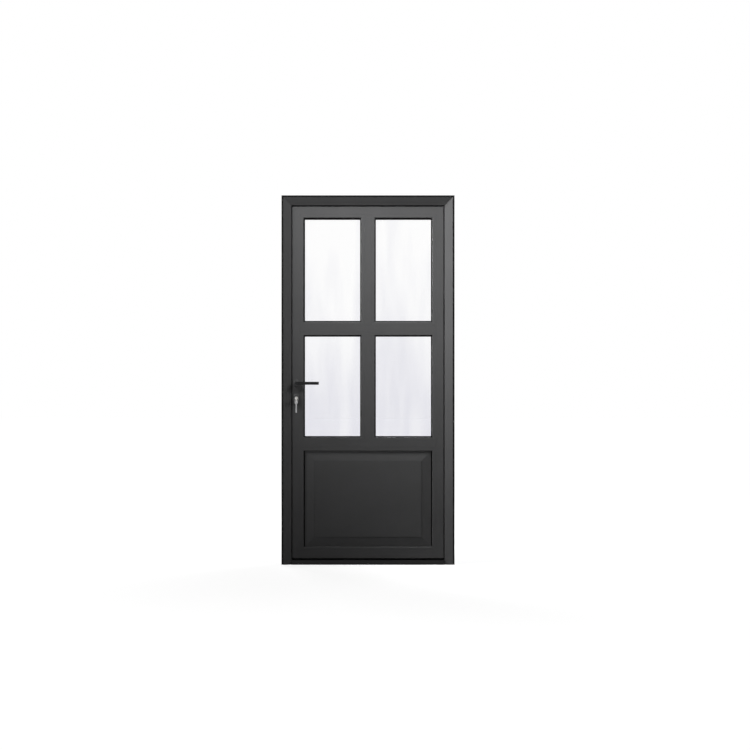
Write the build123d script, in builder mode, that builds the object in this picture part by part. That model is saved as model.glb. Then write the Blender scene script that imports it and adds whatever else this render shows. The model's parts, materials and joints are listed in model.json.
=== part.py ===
"""A glazed aluminium entrance door: a hinged leaf with four panes and a raised panel, in its frame."""

import os

from build123d import *

# Millimetres. X runs along the wall, +Z is up and -Y is the side the door is looked at from.

# Frame
FRAME_WIDTH = 1000
FRAME_HEIGHT = 2135
FRAME_DEPTH = 70
FRAME_FACE = 57
FRAME_BACK_FACE = 38
STOP_DEPTH = 20
TRIM_LIP = 2.5
TRIM_GROOVE = 8
TRIM_GROOVE_DEPTH = 14
FLAT_BAND = 21
THRESHOLD_HEIGHT = 25
THRESHOLD_PLATE = 6
WALL = 2
THICK_WALL = 4
MITRE_GAP = 0.2
EDGE_ROUND = 0.8

# Leaf
LEAF_SETBACK = 10
SIDE_GAP = 6
TOP_GAP = 8
BOTTOM_GAP = 13
STOP_GAP = 8
STILE_FACE = 44.5
BAR_CORE = 38
BEAD_WIDTH = 20
BEAD_DEPTH = 16
BEAD_ROUND = 3
GASKET = 3
GASKET_SIGHT = 6.5
GASKET_LIP = 2
UNIT_DEPTH = 24
SHEET = 4
EDGE_CLEARANCE = 5
SPACER_HEIGHT = 8
TRANSOM_HEIGHT = 1365
MID_RAIL_HEIGHT = 696.5
SIDE_REVEAL = 8
END_REVEAL = 2
FRONT_MARGIN = 13
BACK_MARGIN = 6
BEVEL_WIDTH = 55
BEVEL_RISE = 5
FIELD_STEP = 1

# Lock and levers
LOCK_INSET = 86
LEVER_HEIGHT = 1049
LOCK_CENTRES = 85
ROSE_WIDTH = 30
ROSE_HEIGHT = 40
ESCUTCHEON_TALL = 62
ROSE_DEPTH = 8
ROSE_CHAMFER = 2.5
LEVER_REACH = 126
LEVER_STANDOFF = 48
LEVER_TALL = 17
LEVER_THICK = 12
LEVER_BEND = 16
LEVER_EDGE = 3
COLLAR_RADIUS = 9
COLLAR_FIT = 0.25
SPINDLE = 8
RUNNING_FIT = 0.08
FACEPLATE_WIDTH = 24
FACEPLATE_LENGTH = 1760
FACEPLATE_DEPTH = 2.5
STRIKE_DEPTH = 2
BOLT_FIT = 0.3
HOOK_SPREAD = 630
CYLINDER_RADIUS = 8.5
CYLINDER_TALL = 33
CYLINDER_TAIL = 10
CYLINDER_PROUD = 2
PLUG_RADIUS = 6.5
PLUG_LENGTH = 30
KEY_THICK = 2.2
KEY_BLADE = 8.4
KEY_NECK = 22
KEY_BOW = 24
RING_RADIUS = 12
RING_THICK = 1.1
RING_WIDE = 2.2
SPARE_KEY_LENGTH = 72
SPARE_KEY_TWIST = 60
KEY_CUTS = (1.2, 2.2, 1.6, 2.6, 1.0)
KEY_CUT_STEP = 5.5

# Hinges
HINGE_INSET = 220
HINGE_LENGTH = 100
HINGE_GAP = 1
KNUCKLE_RADIUS = 10
HINGE_PLATE = 5
PIN_RADIUS = 5
PIVOT_STANDOFF = 16

# Fixings through the jambs into the wall
FIXING_RADIUS = 5
FIXING_INSET = 160

# Planes and edges that follow from the sizes above
FRONT = -FRAME_DEPTH / 2
BACK = FRAME_DEPTH / 2
LEAF_FRONT = FRONT + LEAF_SETBACK
STOP_BACK = LEAF_FRONT + STOP_DEPTH
FLANGE_FRONT = STOP_BACK + STOP_GAP
HALF_WIDTH = FRAME_WIDTH / 2
REBATE_X = HALF_WIDTH - FRAME_BACK_FACE
FLANGE_X = REBATE_X - SIDE_GAP
FLANGE = FRAME_FACE - FRAME_BACK_FACE
LEAF_X = FLANGE_X - FLANGE
BAY_X = LEAF_X - STILE_FACE
LEAF_BOTTOM = THRESHOLD_HEIGHT + BOTTOM_GAP
FLANGE_BOTTOM = LEAF_BOTTOM - FLANGE
FLANGE_TOP = FRAME_HEIGHT - FRAME_BACK_FACE - TOP_GAP
LEAF_TOP = FLANGE_TOP - FLANGE
BEAD_BACK = LEAF_FRONT + BEAD_DEPTH
UNIT_FRONT = BEAD_BACK + GASKET
UNIT_BACK = UNIT_FRONT + UNIT_DEPTH
LIP_FRONT = UNIT_BACK + GASKET
HALF_CORE = BAR_CORE / 2
LOCK_X = -HALF_WIDTH + LOCK_INSET
CYLINDER_HEIGHT = LEVER_HEIGHT - LOCK_CENTRES
PIVOT_X = (REBATE_X + FLANGE_X) / 2
PIVOT_Y = BACK + PIVOT_STANDOFF
LOCK_Y = (FLANGE_FRONT + BACK) / 2
SOLID_EDGE = THICK_WALL + WALL
FIXING_STEP = (FRAME_HEIGHT - 2 * FIXING_INSET) / 3
FIXING_HEIGHTS = [FIXING_INSET + step * FIXING_STEP for step in range(4)]
HINGE_HEIGHTS = (
    LEAF_BOTTOM + HINGE_INSET,
    (LEAF_BOTTOM + LEAF_TOP) / 2,
    LEAF_TOP - HINGE_INSET,
)

# The five bays of the leaf, each as its middle and its size between the profiles
BAY_WIDTH = BAY_X - HALF_CORE
BAY_MIDDLE = (BAY_X + HALF_CORE) / 2
UPPER_LOW = TRANSOM_HEIGHT + HALF_CORE
UPPER_HIGH = LEAF_TOP - STILE_FACE
LOWER_LOW = MID_RAIL_HEIGHT + HALF_CORE
LOWER_HIGH = TRANSOM_HEIGHT - HALF_CORE
PANEL_LOW = LEAF_BOTTOM + STILE_FACE
PANEL_HIGH = MID_RAIL_HEIGHT - HALF_CORE
UPPER_BAY = ((UPPER_LOW + UPPER_HIGH) / 2, UPPER_HIGH - UPPER_LOW)
LOWER_BAY = ((LOWER_LOW + LOWER_HIGH) / 2, LOWER_HIGH - LOWER_LOW)
PANEL_BAY = ((PANEL_LOW + PANEL_HIGH) / 2, PANEL_HIGH - PANEL_LOW)
BAYS = {
    "upper_left": (-BAY_MIDDLE, UPPER_BAY[0], BAY_WIDTH, UPPER_BAY[1]),
    "upper_right": (BAY_MIDDLE, UPPER_BAY[0], BAY_WIDTH, UPPER_BAY[1]),
    "lower_left": (-BAY_MIDDLE, LOWER_BAY[0], BAY_WIDTH, LOWER_BAY[1]),
    "lower_right": (BAY_MIDDLE, LOWER_BAY[0], BAY_WIDTH, LOWER_BAY[1]),
    "panel": (0, PANEL_BAY[0], 2 * BAY_X, PANEL_BAY[1]),
}

# The planes that the profiles are drawn on: first axis inward from the outer edge, second axis to the back
LEFT = Plane(origin=(0, 0, 0), x_dir=(1, 0, 0), z_dir=(0, 0, 1))
RIGHT = Plane(origin=(0, 0, 0), x_dir=(-1, 0, 0), z_dir=(0, 0, -1))
DOWN = Plane(origin=(0, 0, 0), x_dir=(0, 0, -1), z_dir=(1, 0, 0))
UP = Plane(origin=(0, 0, 0), x_dir=(0, 0, 1), z_dir=(-1, 0, 0))

os.makedirs("parts", exist_ok=True)


def at(plane, x=0, y=0, z=0):
    """The same plane with its origin moved to a point."""
    return Plane(origin=(x, y, z), x_dir=plane.x_dir, z_dir=plane.z_dir)


def facing(y):
    """An upright plane at one depth, looking at the front of the door, so that a drawing's X and Y are X and Z."""
    return Plane(origin=(0, y, 0), x_dir=(1, 0, 0), z_dir=(0, -1, 0))


def save(piece, name):
    """Writes one named piece."""
    piece.part.label = name
    export_step(piece.part, f"parts/{name}.step")


# Sections of the profiles, inward from the outer edge and from front to back
TRIM_END = TRIM_LIP + TRIM_GROOVE
TRIM_BOTTOM = FRONT + TRIM_GROOVE_DEPTH
FRAME_SECTION = (
    (0, FRONT),
    (TRIM_LIP, FRONT),
    (TRIM_LIP, TRIM_BOTTOM),
    (TRIM_END, TRIM_BOTTOM),
    (TRIM_END, FRONT),
    (FLAT_BAND, FRONT),
    (FRAME_FACE, LEAF_FRONT),
    (FRAME_FACE, STOP_BACK),
    (FRAME_BACK_FACE, STOP_BACK),
    (FRAME_BACK_FACE, BACK),
    (0, BACK),
)
BREAK_FRONT = STOP_BACK + WALL
BREAK_BACK = FLANGE_FRONT + 3 * WALL
FRAME_INNER = FRAME_BACK_FACE - THICK_WALL
FRAME_CHAMBERS = (
    (
        (TRIM_END + WALL, FRONT + WALL),
        (FLAT_BAND, FRONT + WALL),
        (FRAME_FACE - WALL, LEAF_FRONT + WALL),
        (FRAME_FACE - WALL, STOP_BACK - WALL),
        (TRIM_END + WALL, STOP_BACK - WALL),
    ),
    (
        (WALL, TRIM_BOTTOM + WALL),
        (TRIM_END, TRIM_BOTTOM + WALL),
        (TRIM_END, BREAK_FRONT),
        (FRAME_INNER, BREAK_FRONT),
        (FRAME_INNER, BREAK_BACK),
        (WALL, BREAK_BACK),
    ),
    (
        (WALL, BREAK_BACK + WALL),
        (FRAME_INNER, BREAK_BACK + WALL),
        (FRAME_INNER, BACK - WALL),
        (WALL, BACK - WALL),
    ),
)
POCKET = FLANGE + STILE_FACE
LIP_EDGE = POCKET + BEAD_WIDTH
LEAF_SECTION = (
    (FLANGE, LEAF_FRONT),
    (POCKET, LEAF_FRONT),
    (POCKET, LIP_FRONT),
    (LIP_EDGE, LIP_FRONT),
    (LIP_EDGE, BACK),
    (0, BACK),
    (0, FLANGE_FRONT),
    (FLANGE, FLANGE_FRONT),
)
LEAF_CHAMBERS = (
    (
        (FLANGE + WALL, LEAF_FRONT + WALL),
        (POCKET - WALL, LEAF_FRONT + WALL),
        (POCKET - WALL, STOP_BACK - WALL),
        (FLANGE + WALL, STOP_BACK - WALL),
    ),
    (
        (FLANGE + WALL, STOP_BACK),
        (POCKET - WALL, STOP_BACK),
        (POCKET - WALL, BREAK_BACK),
        (FLANGE + WALL, BREAK_BACK),
    ),
    (
        (SOLID_EDGE, BREAK_BACK + WALL),
        (POCKET - WALL, BREAK_BACK + WALL),
        (POCKET - WALL, LIP_FRONT + WALL),
        (LIP_EDGE - WALL, LIP_FRONT + WALL),
        (LIP_EDGE - WALL, BACK - WALL),
        (SOLID_EDGE, BACK - WALL),
    ),
)
HALF_BAR = HALF_CORE + BEAD_WIDTH
BAR_SECTION = (
    (-HALF_CORE, LEAF_FRONT),
    (HALF_CORE, LEAF_FRONT),
    (HALF_CORE, LIP_FRONT),
    (HALF_BAR, LIP_FRONT),
    (HALF_BAR, BACK),
    (-HALF_BAR, BACK),
    (-HALF_BAR, LIP_FRONT),
    (-HALF_CORE, LIP_FRONT),
)
BAR_CHAMBERS = (
    (
        (WALL - HALF_CORE, LEAF_FRONT + WALL),
        (HALF_CORE - WALL, LEAF_FRONT + WALL),
        (HALF_CORE - WALL, STOP_BACK - WALL),
        (WALL - HALF_CORE, STOP_BACK - WALL),
    ),
    (
        (WALL - HALF_CORE, STOP_BACK),
        (HALF_CORE - WALL, STOP_BACK),
        (HALF_CORE - WALL, BREAK_BACK),
        (WALL - HALF_CORE, BREAK_BACK),
    ),
    (
        (WALL - HALF_CORE, BREAK_BACK + WALL),
        (HALF_CORE - WALL, BREAK_BACK + WALL),
        (HALF_CORE - WALL, LIP_FRONT + WALL),
        (HALF_BAR - WALL, LIP_FRONT + WALL),
        (HALF_BAR - WALL, BACK - WALL),
        (WALL - HALF_BAR, BACK - WALL),
        (WALL - HALF_BAR, LIP_FRONT + WALL),
        (WALL - HALF_CORE, LIP_FRONT + WALL),
    ),
)
FRAME_ROUNDS = (
    (TRIM_END, FRONT),
    (FLAT_BAND, FRONT),
    (FRAME_FACE, LEAF_FRONT),
    (FRAME_FACE, STOP_BACK),
    (FRAME_BACK_FACE, BACK),
)
LEAF_ROUNDS = (
    (FLANGE, LEAF_FRONT),
    (POCKET, LEAF_FRONT),
    (LIP_EDGE, BACK),
    (0, BACK),
    (0, FLANGE_FRONT),
)
BAR_ROUNDS = (
    (-HALF_CORE, LEAF_FRONT),
    (HALF_CORE, LEAF_FRONT),
    (HALF_BAR, BACK),
    (-HALF_BAR, BACK),
)


def profile(plane, section, rounds, chambers, length):
    """A straight hollow extrusion with softened outer corners."""
    with BuildPart() as extrusion:
        with BuildSketch(plane) as drawing:
            with BuildLine():
                Polyline(*section, close=True)
            make_face()
            soft = [
                corner
                for corner in drawing.vertices()
                if any(abs(corner.X - x) + abs(corner.Y - y) < 0.01 for x, y in rounds)
            ]
            fillet(soft, EDGE_ROUND)
            for chamber in chambers:
                with BuildLine():
                    Polyline(*chamber, close=True)
                make_face(mode=Mode.SUBTRACT)
        extrude(amount=length)
    return extrusion.part


def mitre(side, end, x, z, inset):
    """The sloping cut at an upper or lower corner, set back from the corner by half the joint."""
    return Plane(origin=(side * x, 0, z - end * inset * 2**0.5), z_dir=(-side, 0, end))


# Frame: two jambs that stand on the ground, mitred to the head
def jamb(plane, side):
    """One jamb with its mitre and its fixing holes."""
    with BuildPart() as post:
        add(profile(plane, FRAME_SECTION, FRAME_ROUNDS, FRAME_CHAMBERS, FRAME_HEIGHT))
        split(bisect_by=mitre(side, 1, HALF_WIDTH, FRAME_HEIGHT, MITRE_GAP / 2), keep=Keep.BOTTOM)
        with Locations(Plane(origin=(side * HALF_WIDTH, LOCK_Y, 0), x_dir=(0, 0, 1), z_dir=(side, 0, 0))):
            with Locations(*[(height, 0) for height in FIXING_HEIGHTS]):
                Hole(radius=FIXING_RADIUS, depth=FRAME_BACK_FACE)
    return post.part


STRIKES = (
    (CYLINDER_HEIGHT + LOCK_CENTRES / 2 - 10, 230),
    (LEVER_HEIGHT - HOOK_SPREAD, 120),
    (LEVER_HEIGHT + HOOK_SPREAD, 120),
)
BOLTS = (
    (LEVER_HEIGHT - 8, 32),
    (CYLINDER_HEIGHT - 12, 38),
    (LEVER_HEIGHT - HOOK_SPREAD, 44),
    (LEVER_HEIGHT + HOOK_SPREAD, 44),
)
BOLT_WIDTH = 14

with BuildPart() as jamb_left:
    add(jamb(at(LEFT, x=-HALF_WIDTH), -1))
    for height, length in STRIKES:
        with BuildSketch(Plane(origin=(-REBATE_X, LOCK_Y, height), x_dir=(0, 1, 0), z_dir=(1, 0, 0))):
            Rectangle(FACEPLATE_WIDTH, length)
        extrude(amount=-STRIKE_DEPTH, mode=Mode.SUBTRACT)
    for height, length in BOLTS:
        with BuildSketch(Plane(origin=(-REBATE_X, LOCK_Y, height), x_dir=(0, 1, 0), z_dir=(1, 0, 0))):
            Rectangle(BOLT_WIDTH + 4, length + 6)
        extrude(amount=-THICK_WALL, mode=Mode.SUBTRACT)
save(jamb_left, "jamb_left")

with BuildPart() as jamb_right:
    add(jamb(at(RIGHT, x=HALF_WIDTH, z=FRAME_HEIGHT), 1))
save(jamb_right, "jamb_right")

with BuildPart() as head:
    across_top = at(DOWN, x=-HALF_WIDTH, z=FRAME_HEIGHT)
    add(profile(across_top, FRAME_SECTION, FRAME_ROUNDS, FRAME_CHAMBERS, FRAME_WIDTH))
    for side in (-1, 1):
        split(bisect_by=mitre(side, 1, HALF_WIDTH, FRAME_HEIGHT, -MITRE_GAP / 2), keep=Keep.TOP)
save(head, "head")

# Threshold: a low sill let in between the jambs, a hollow lip in front of a flat plate under the leaf
with BuildPart() as threshold:
    with BuildSketch(Plane.YZ.offset(-REBATE_X)):
        with BuildLine():
            Polyline(
                (FRONT + WALL, 0),
                (FRONT + WALL, THRESHOLD_HEIGHT - 8),
                (FRONT + 8, THRESHOLD_HEIGHT),
                (STOP_BACK, THRESHOLD_HEIGHT),
                (STOP_BACK, THRESHOLD_PLATE),
                (BACK, THRESHOLD_PLATE),
                (BACK, 0),
                close=True,
            )
        make_face()
        with BuildLine():
            Polyline(
                (FRONT + 2 * WALL, WALL),
                (FRONT + 2 * WALL, THRESHOLD_HEIGHT - 9),
                (FRONT + 9, THRESHOLD_HEIGHT - WALL),
                (STOP_BACK - WALL, THRESHOLD_HEIGHT - WALL),
                (STOP_BACK - WALL, WALL),
                close=True,
            )
        make_face(mode=Mode.SUBTRACT)
    extrude(amount=2 * REBATE_X)
    with BuildSketch(Plane.XY):
        with Locations((-REBATE_X, FRONT), (REBATE_X, FRONT)):
            Rectangle(2 * FLANGE, 2 * (STOP_BACK - FRONT))
    extrude(amount=THRESHOLD_HEIGHT, mode=Mode.SUBTRACT)
    top_edges = threshold.faces().sort_by(Axis.Z)[-1].edges().filter_by(Axis.X)
    fillet(top_edges, EDGE_ROUND)
save(threshold, "threshold")

# Seal: a soft strip on the stop round three sides
SEAL_WIDTH = 7
SEAL_PROUD = 3
SEAL_INSET = FRAME_BACK_FACE + 9

with BuildPart() as frame_seal:
    with BuildSketch(facing(STOP_BACK)):
        with Locations((0, FRAME_HEIGHT - SEAL_INSET)):
            Rectangle(2 * (HALF_WIDTH - SEAL_INSET), SEAL_WIDTH, align=(Align.CENTER, Align.MAX))
        with Locations((-HALF_WIDTH + SEAL_INSET, THRESHOLD_HEIGHT + 2)):
            Rectangle(SEAL_WIDTH, FRAME_HEIGHT - SEAL_INSET - THRESHOLD_HEIGHT - 2, align=Align.MIN)
        with Locations((HALF_WIDTH - SEAL_INSET, THRESHOLD_HEIGHT + 2)):
            Rectangle(
                SEAL_WIDTH,
                FRAME_HEIGHT - SEAL_INSET - THRESHOLD_HEIGHT - 2,
                align=(Align.MAX, Align.MIN),
            )
    extrude(amount=-SEAL_PROUD)
    fillet(frame_seal.faces().sort_by(Axis.Y)[-1].edges(), EDGE_ROUND)
save(frame_seal, "frame_seal")

# Strike plates, let in flush with the rebate of the lock jamb
with BuildPart() as strike_plates:
    for height, length in STRIKES:
        with BuildSketch(Plane(origin=(-REBATE_X, LOCK_Y, height), x_dir=(0, 1, 0), z_dir=(1, 0, 0))):
            RectangleRounded(FACEPLATE_WIDTH, length, EDGE_ROUND)
        extrude(amount=-STRIKE_DEPTH)
    for height, length in BOLTS:
        with BuildSketch(Plane(origin=(-REBATE_X, LOCK_Y, height), x_dir=(0, 1, 0), z_dir=(1, 0, 0))):
            Rectangle(BOLT_WIDTH + 2, length + 4)
        extrude(amount=-STRIKE_DEPTH, mode=Mode.SUBTRACT)
save(strike_plates, "strike_plates")


# Leaf: four profiles mitred at the corners, with bars set between them
def stile(plane, side):
    """One upright of the leaf with a mitre at each end."""
    with BuildPart() as upright:
        add(profile(plane, LEAF_SECTION, LEAF_ROUNDS, LEAF_CHAMBERS, FLANGE_TOP - FLANGE_BOTTOM))
        for end, height in ((1, FLANGE_TOP), (-1, FLANGE_BOTTOM)):
            split(bisect_by=mitre(side, end, FLANGE_X, height, MITRE_GAP / 2), keep=Keep.BOTTOM)
    return upright.part


def rail(plane, end, height):
    """The top or bottom of the leaf with a mitre at each end."""
    with BuildPart() as level:
        add(profile(plane, LEAF_SECTION, LEAF_ROUNDS, LEAF_CHAMBERS, 2 * FLANGE_X))
        for side in (-1, 1):
            split(bisect_by=mitre(side, end, FLANGE_X, height, -MITRE_GAP / 2), keep=Keep.TOP)
    return level.part


with BuildPart() as lock_stile:
    add(stile(at(LEFT, x=-FLANGE_X, z=FLANGE_BOTTOM), -1))
    with BuildSketch(Plane(origin=(-FLANGE_X, LOCK_Y, LEVER_HEIGHT), x_dir=(0, -1, 0), z_dir=(-1, 0, 0))):
        SlotOverall(FACEPLATE_LENGTH, FACEPLATE_WIDTH, rotation=90)
    extrude(amount=-FACEPLATE_DEPTH, mode=Mode.SUBTRACT)
    for height, length in BOLTS:
        with BuildSketch(Plane(origin=(-FLANGE_X, LOCK_Y, height), x_dir=(0, -1, 0), z_dir=(-1, 0, 0))):
            Rectangle(BOLT_WIDTH + 2 * BOLT_FIT, length + 2 * BOLT_FIT)
        extrude(amount=-SOLID_EDGE, mode=Mode.SUBTRACT)
    with BuildSketch(facing(LEAF_FRONT)):
        with Locations((LOCK_X, LEVER_HEIGHT)):
            Circle(SPINDLE)
        with Locations((LOCK_X, CYLINDER_HEIGHT)):
            Circle(CYLINDER_RADIUS + BOLT_FIT)
        with Locations((LOCK_X, CYLINDER_HEIGHT + CYLINDER_RADIUS - CYLINDER_TALL / 2)):
            SlotOverall(
                CYLINDER_TALL + 2 * BOLT_FIT,
                CYLINDER_TAIL + 2 * BOLT_FIT,
                rotation=90,
            )
    extrude(amount=-(BACK - LEAF_FRONT), mode=Mode.SUBTRACT)
save(lock_stile, "lock_stile")

with BuildPart() as hinge_stile:
    add(stile(at(RIGHT, x=FLANGE_X, z=FLANGE_TOP), 1))
save(hinge_stile, "hinge_stile")

with BuildPart() as top_rail:
    add(rail(at(DOWN, x=-FLANGE_X, z=FLANGE_TOP), 1, FLANGE_TOP))
save(top_rail, "top_rail")

with BuildPart() as bottom_rail:
    add(rail(at(UP, x=FLANGE_X, z=FLANGE_BOTTOM), -1, FLANGE_BOTTOM))
save(bottom_rail, "bottom_rail")


def cross_bar(height):
    """A level bar between the stiles, its back milled away where the stiles' lips run past."""
    with BuildPart() as bar:
        add(profile(at(UP, x=BAY_X, z=height), BAR_SECTION, BAR_ROUNDS, BAR_CHAMBERS, 2 * BAY_X))
        with BuildSketch(facing(BACK)):
            with Locations((-BAY_X, height), (BAY_X, height)):
                Rectangle(2 * BEAD_WIDTH, 4 * HALF_BAR)
        extrude(amount=BACK - LIP_FRONT, mode=Mode.SUBTRACT)
    return bar.part


with BuildPart() as mid_rail:
    add(cross_bar(MID_RAIL_HEIGHT))
save(mid_rail, "mid_rail")

with BuildPart() as transom:
    add(cross_bar(TRANSOM_HEIGHT))
save(transom, "transom")


def mullion(low, high):
    """An upright bar between two level ones, milled at the back of both ends."""
    with BuildPart() as bar:
        add(profile(at(LEFT, z=low), BAR_SECTION, BAR_ROUNDS, BAR_CHAMBERS, high - low))
        with BuildSketch(facing(BACK)):
            with Locations((0, low), (0, high)):
                Rectangle(4 * HALF_BAR, 2 * BEAD_WIDTH)
        extrude(amount=BACK - LIP_FRONT, mode=Mode.SUBTRACT)
    return bar.part


with BuildPart() as upper_mullion:
    add(mullion(UPPER_LOW, UPPER_HIGH))
save(upper_mullion, "upper_mullion")

with BuildPart() as lower_mullion:
    add(mullion(LOWER_LOW, LOWER_HIGH))
save(lower_mullion, "lower_mullion")


# Glazing beads, gaskets, spacer bars and sealed units of each bay
def bead_frame(x, z, width, height):
    """Four mitred beads round one bay, with rounded inner edges."""
    with BuildPart() as beads:
        with BuildSketch(facing(LEAF_FRONT)):
            with Locations((x, z)):
                Rectangle(width, height)
                Rectangle(width - 2 * BEAD_WIDTH, height - 2 * BEAD_WIDTH, mode=Mode.SUBTRACT)
        extrude(amount=-BEAD_DEPTH)
        front = beads.faces().sort_by(Axis.Y)[0]
        fillet(front.inner_wires()[0].edges(), BEAD_ROUND)
        front = beads.faces().sort_by(Axis.Y)[0]
        fillet(front.outer_wire().edges(), EDGE_ROUND / 2)
        with BuildSketch(facing(LEAF_FRONT)):
            for across in (-1, 1):
                for up in (-1, 1):
                    with Locations((x + across * width / 2, z + up * height / 2)):
                        Rectangle(4 * BEAD_WIDTH, MITRE_GAP, rotation=45 * across * up)
        extrude(amount=-BEAD_DEPTH, mode=Mode.SUBTRACT)
    return beads.part


def bay_ring(x, z, width, height, outer, inner, front, depth):
    """A flat ring in one bay, between two insets from the profiles."""
    with BuildPart() as ring:
        with BuildSketch(facing(front)):
            with Locations((x, z)):
                Rectangle(width - 2 * outer, height - 2 * outer)
                Rectangle(width - 2 * inner, height - 2 * inner, mode=Mode.SUBTRACT)
        extrude(amount=-depth)
    return ring.part


for bay, (x, z, width, height) in BAYS.items():
    with BuildPart() as beads:
        add(bead_frame(x, z, width, height))
    save(beads, f"beads_{bay}")

GASKET_OUTER = EDGE_CLEARANCE + 4
GASKET_INNER = BEAD_WIDTH + GASKET_SIGHT
LIP_OUTER = BEAD_WIDTH + 0.2
PANEL_GASKET_INNER = BEAD_WIDTH - 0.5
PANEL_STRIP = 6
PANES = [bay for bay in BAYS if bay != "panel"]

with BuildPart() as front_gaskets:
    for x, z, width, height in [BAYS[bay] for bay in PANES]:
        add(bay_ring(x, z, width, height, GASKET_OUTER, GASKET_INNER, BEAD_BACK, GASKET))
        add(bay_ring(x, z, width, height, LIP_OUTER, GASKET_INNER, BEAD_BACK - GASKET_LIP, GASKET_LIP))
    x, z, width, height = BAYS["panel"]
    add(bay_ring(x, z, width, height, GASKET_OUTER, PANEL_GASKET_INNER, BEAD_BACK, GASKET))
    strip_x = width / 2 - BEAD_WIDTH - SIDE_REVEAL / 2
    with BuildSketch(facing(BEAD_BACK - GASKET_LIP)):
        with Locations((x - strip_x, z), (x + strip_x, z)):
            Rectangle(PANEL_STRIP, height - 2 * BEAD_WIDTH)
    extrude(amount=-(GASKET_LIP + GASKET))
save(front_gaskets, "front_gaskets")

with BuildPart() as back_gaskets:
    for bay, (x, z, width, height) in BAYS.items():
        inner = GASKET_INNER if bay in PANES else PANEL_GASKET_INNER
        add(bay_ring(x, z, width, height, GASKET_OUTER, inner, UNIT_BACK, GASKET))
save(back_gaskets, "back_gaskets")

for bay in PANES:
    x, z, width, height = BAYS[bay]
    with BuildPart() as pane:
        for front in (UNIT_FRONT, UNIT_BACK - SHEET):
            with BuildSketch(facing(front)):
                with Locations((x, z)):
                    Rectangle(width - 2 * EDGE_CLEARANCE, height - 2 * EDGE_CLEARANCE)
            extrude(amount=-SHEET)
    save(pane, f"pane_{bay}")

with BuildPart() as glazing_spacers:
    for bay in PANES:
        x, z, width, height = BAYS[bay]
        outer = EDGE_CLEARANCE + 3
        add(
            bay_ring(
                x, z, width, height, outer, outer + SPACER_HEIGHT, UNIT_FRONT + SHEET, UNIT_DEPTH - 2 * SHEET
            )
        )
save(glazing_spacers, "glazing_spacers")


# Bottom panel: raised and fielded on both faces
def field(x, z, width, height, face, margin, out):
    """One face of the panel: an edge raised by the margin, a bevel, and a small step round the flat middle."""
    wide = width - 2 * (BEAD_WIDTH + SIDE_REVEAL)
    tall = height - 2 * (BEAD_WIDTH + END_REVEAL)
    edge = face - out * margin
    flat = edge - out * BEVEL_RISE
    with BuildPart() as raised:
        with BuildSketch(facing(face)):
            with Locations((x, z)):
                Rectangle(wide, tall)
        extrude(amount=out * margin)
        with BuildSketch(facing(edge)):
            with Locations((x, z)):
                Rectangle(wide, tall)
        with BuildSketch(facing(flat)):
            with Locations((x, z)):
                Rectangle(wide - 2 * BEVEL_WIDTH, tall - 2 * BEVEL_WIDTH)
        loft()
        with BuildSketch(facing(flat)):
            with Locations((x, z)):
                Rectangle(wide - 2 * BEVEL_WIDTH - 2, tall - 2 * BEVEL_WIDTH - 2)
        extrude(amount=out * FIELD_STEP)
    return raised.part


with BuildPart() as bottom_panel:
    x, z, width, height = BAYS["panel"]
    with BuildSketch(facing(UNIT_FRONT)):
        with Locations((x, z)):
            Rectangle(width - 2 * EDGE_CLEARANCE, height - 2 * EDGE_CLEARANCE)
    extrude(amount=-UNIT_DEPTH)
    add(field(x, z, width, height, UNIT_FRONT, FRONT_MARGIN, 1))
    add(field(x, z, width, height, UNIT_BACK, BACK_MARGIN, -1))
save(bottom_panel, "bottom_panel")

# Lock: faceplate with its drawn-back latch and bolts, roses, and the profile cylinder
with BuildPart() as lock_faceplate:
    with BuildSketch(Plane(origin=(-FLANGE_X, LOCK_Y, LEVER_HEIGHT), x_dir=(0, -1, 0), z_dir=(-1, 0, 0))):
        SlotOverall(FACEPLATE_LENGTH, FACEPLATE_WIDTH, rotation=90)
    extrude(amount=-FACEPLATE_DEPTH)
    for height, length in BOLTS:
        with BuildSketch(Plane(origin=(-FLANGE_X, LOCK_Y, height), x_dir=(0, -1, 0), z_dir=(-1, 0, 0))):
            Rectangle(BOLT_WIDTH + 2 * BOLT_FIT, length + 2 * BOLT_FIT)
        extrude(amount=-FACEPLATE_DEPTH, mode=Mode.SUBTRACT)
save(lock_faceplate, "lock_faceplate")

with BuildPart() as latch_and_bolts:
    for height, length in BOLTS:
        with BuildSketch(Plane(origin=(-FLANGE_X, LOCK_Y, height), x_dir=(0, -1, 0), z_dir=(-1, 0, 0))):
            Rectangle(BOLT_WIDTH, length)
        extrude(amount=-3 * SOLID_EDGE)
save(latch_and_bolts, "latch_and_bolts")


def euro_outline(x, height, extra, front, depth):
    """The rounded profile of a lock cylinder: a barrel over a narrower tail."""
    with BuildPart() as body:
        with BuildSketch(facing(front)):
            with Locations((x, height)):
                Circle(CYLINDER_RADIUS + extra)
            with Locations((x, height + CYLINDER_RADIUS - CYLINDER_TALL / 2)):
                SlotOverall(CYLINDER_TALL + 2 * extra, CYLINDER_TAIL + 2 * extra, rotation=90)
        extrude(amount=-depth)
    return body.part


ESCUTCHEON_HEIGHT = CYLINDER_HEIGHT + CYLINDER_RADIUS - CYLINDER_TALL / 2


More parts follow.
